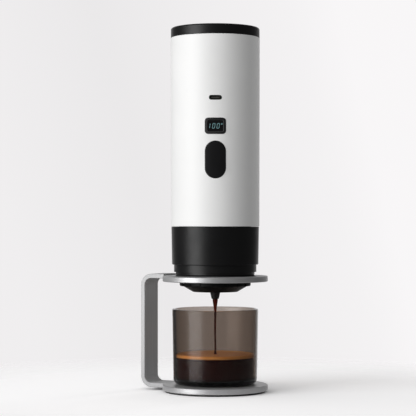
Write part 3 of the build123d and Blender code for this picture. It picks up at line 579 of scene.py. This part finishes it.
# Figures on the display, from bars whose ends are given in shares of a figure's width and height
window_low, window_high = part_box("display_window")
display_height = (window_low.z + window_high.z) / 2
figure_face = window_low.y - 0.02 * mm
figure_depth = 0.08 * mm
figure_tall = 3.8 * mm
figure_wide = 1.75 * mm
stroke = 0.45 * mm
bar_gap = stroke / 8
slant = 0.16
bar_ends = {
    "top": ((0, 1), (1, 1)),
    "bottom": ((0, 0), (1, 0)),
    "left_high": ((0, 0.5), (0, 1)),
    "left_low": ((0, 0), (0, 0.5)),
    "right_high": ((1, 0.5), (1, 1)),
    "right_low": ((1, 0), (1, 0.5)),
}
one = ("right_high", "right_low")
nought = ("top", "bottom", "left_high", "left_low", "right_high", "right_low")
figure_places = ((-6.12 * mm, one), (-2.2 * mm, nought), (1.33 * mm, nought))
degree_middle = Vector((4.8 * mm, figure_tall / 2 - 0.45 * mm))
degree_outer = 0.65 * mm
degree_inner = 0.3 * mm
degree_steps = 12


def bar_outline(start, end):
    """A bar with pointed ends, in the plane of the display."""
    along = (end - start).normalized()
    across = Vector((-along.y, along.x))
    half = stroke / 2
    first = start + along * bar_gap
    last = end - along * bar_gap
    return [
        first,
        first + (along - across) * half,
        last - (along + across) * half,
        last,
        last - (along - across) * half,
        first + (along + across) * half,
    ]


def add_plate(work, outline):
    """A thin slanted plate on the display's face, from its outline round the display's middle."""
    rings = []
    for depth in (figure_face, figure_face - figure_depth):
        rings.append([work.verts.new((p.x + p.y * slant, depth, display_height + p.y)) for p in outline])
    back, front = rings
    work.faces.new(back)
    work.faces.new(list(reversed(front)))
    for index in range(len(outline)):
        after = (index + 1) % len(outline)
        work.faces.new([back[index], front[index], front[after], back[after]])


def figures():
    """A plain number and a degree sign, in one mesh."""
    work = bmesh.new()
    for left, bars in figure_places:
        corner = Vector((left, -figure_tall / 2))
        for name in bars:
            start, end = (corner + Vector((x * figure_wide, y * figure_tall)) for x, y in bar_ends[name])
            add_plate(work, bar_outline(start, end))
    ring = [Vector(point) for point in circle(degree_steps)]
    for first, last in zip(ring, ring[1:] + ring[:1]):
        corners = (first * degree_inner, first * degree_outer, last * degree_outer, last * degree_inner)
        add_plate(work, [degree_middle + corner for corner in corners])
    return new_object("display_figures", work, smooth=False)


def lit_figures():
    look = Look("display_figures")
    glow = look.noise(500.0)
    return look.finish(
        base_color=look.blend(glow, (0.05, 0.09, 0.10), (0.08, 0.13, 0.14)),
        emission_color=look.blend(glow, (0.22, 0.46, 0.48), (0.28, 0.52, 0.54)),
        emission_strength=0.38,
        roughness=look.spread(glow, 0.3, 0.5),
    )


dress(figures(), lit_figures(), "main_body")

# Floor: how far the shadows painted into its glow reach, the side that their painted light comes from, and
# where it fades out
floor_radius = 0.34
floor_height = -0.05 * mm
floor_steps = 64
floor_glow = 0.40
contact_reach = 12.0 * mm
cast_reach = 0.3
painted_light_side = (-0.9, 0.0, 0.43)
fade_out = (0.17, 0.33)
mirrored_fade_out = (0.04, 0.10)


def floor_look():
    """Pale floor that keeps the lamps' shadow, with a painted shadow in its glow near the object, and fades
    into the background.
    """
    look = Look("floor")
    grain = look.noise(60.0, detail=4.0)
    # The glow is darkened by ambient occlusion, straight up and towards the painted light's side: a painted
    # shadow
    contact = look.node("AmbientOcclusion", {"Distance": contact_reach}).outputs["AO"]
    towards_light = look.node("CombineXYZ", dict(enumerate(painted_light_side))).outputs[0]
    cast = look.node("AmbientOcclusion", {"Distance": cast_reach, "Normal": towards_light}).outputs["AO"]
    glow_left_by_painted_shadow = look.combine(contact, cast, "MULTIPLY")
    look.finish(
        base_color=look.blend(grain, (0.89, 0.885, 0.888), (0.91, 0.905, 0.908)),
        roughness=0.9,
        specular_ior_level=0.0,
        emission_color=look.blend(glow_left_by_painted_shadow, (0.0, 0.0, 0.0), (1.0, 0.99, 0.995)),
        emission_strength=floor_glow,
        normal=look.bump(grain, 0.1 * mm, 0.2),
    )
    dim = look.node("BsdfDiffuse", {"Color": (0.2, 0.2, 0.2)}).outputs[0]
    shown = look.rays("Is Camera Ray", "Is Glossy Ray", "Is Transmission Ray")
    ground = look.mix(shown, dim, look.surface.outputs[0])
    reach = look.distance(look.place)
    away = look.spread(reach, 0.0, 1.0, *fade_out)
    mirrored_away = look.spread(reach, 0.0, 1.0, *mirrored_fade_out)
    mirrored = look.combine(mirrored_away, look.rays("Is Glossy Ray"), "MULTIPLY")
    open_air = look.nodes.new("ShaderNodeBsdfTransparent").outputs[0]
    faded = look.mix(look.combine(away, mirrored, "MAXIMUM"), ground, open_air)
    look.put(faded, look.output.inputs["Surface"])
    return look.material


floor = lathe("floor", [(0.0, floor_height), (floor_radius, floor_height)], floor_steps)
floor.data.materials.append(floor_look())

# Background: places along a direction, from -1 to 1, each with its tone
ambient = 0.26
background_tint = (1.0, 0.984, 0.992)
wall_direction = (0.97, 0.0, 0.24)
wall_tones = ((-0.12, 0.87), (-0.08, 0.85), (-0.035, 0.825), (0.03, 0.87), (0.08, 0.9), (0.11, 0.94))
mirrored_direction = (0.0, 1.0, 0.0)
mirrored_tones = ((-1.0, 0.10), (0.72, 0.13), (0.94, 0.8), (1.0, 0.84))


def toned(room, direction, tones):
    """A background that changes along a direction."""
    view = room.nodes.new("ShaderNodeTexCoord").outputs["Generated"]
    share = room.spread(room.dot(view, direction), 0.0, 1.0, -1.0, 1.0)
    ramp = room.node("ValToRGB", {"Fac": share})
    stops = ramp.color_ramp.elements
    while len(stops) < len(tones):
        stops.new(0.5)
    for stop, (place, tone) in zip(stops, tones):
        stop.position = (place + 1) / 2
        stop.color = (*shade(background_tint, tone), 1.0)
    return room.node("Background", {"Color": ramp.outputs["Color"]}).outputs[0]


def studio():
    """Even soft light. The camera and glass see a pale wall, and mirrors see one only behind the object."""
    world = bpy.data.worlds.new("studio")
    room = NodeTree(world)
    soft = room.nodes["Background"]
    room.put((1.0, 1.0, 1.0), soft.inputs["Color"])
    room.put(ambient, soft.inputs["Strength"])
    mirrored = toned(room, mirrored_direction, mirrored_tones)
    wall = toned(room, wall_direction, wall_tones)
    reflected = room.mix(room.rays("Is Glossy Ray"), soft.outputs[0], mirrored)
    everything = room.mix(room.rays("Is Camera Ray", "Is Transmission Ray"), reflected, wall)
    room.put(everything, room.nodes["World Output"].inputs["Surface"])
    return world


scene.world = studio()

# Lamps: azimuth in degrees, height, width and length, power in watts, and whether mirrors show them
lamp_distance = 4.0
lamp_aim = Vector((0.0, 0.0, 0.15))
lamps = {
    "key": (-56, 1.15, (3.0, 4.3), 177.0, True),
    "rim": (140, 0.48, (0.83, 4.0), 54.0, False),
    "fill": (-5, 0.78, (3.0, 3.0), 26.0, False),
}


def softbox(name, azimuth, height, size, power, shown):
    """A rectangular lamp round the object. Azimuth 0 is in front and 90 at the right."""
    data = bpy.data.lights.new(name, "AREA")
    data.shape = "RECTANGLE"
    data.size, data.size_y = size
    data.energy = power
    lamp = bpy.data.objects.new(name, data)
    scene.collection.objects.link(lamp)
    turn = radians(azimuth)
    lamp.location = (lamp_distance * sin(turn), -lamp_distance * cos(turn), height)
    lamp.rotation_euler = (lamp_aim - lamp.location).to_track_quat("-Z", "Y").to_euler()
    lamp.visible_glossy = shown
    lamp.visible_transmission = shown


for name, values in lamps.items():
    softbox(name, *values)

# Camera
camera_data = bpy.data.cameras.new("camera")
camera_data.sensor_width = sensor_width
camera_data.lens = sensor_width * camera_distance / (pixel * image_size)
camera_data.clip_start = nearest_view
camera = bpy.data.objects.new("camera", camera_data)
scene.collection.objects.link(camera)
image_middle = image_size / 2
tilt = atan((eye_row - image_middle) * pixel / camera_distance)
camera.location = ((image_middle - axis_column) * pixel, -camera_distance, eye_height)
camera.rotation_euler = (pi / 2 + tilt, 0.0, 0.0)
scene.camera = camera
scene.view_settings.view_transform = "Standard"
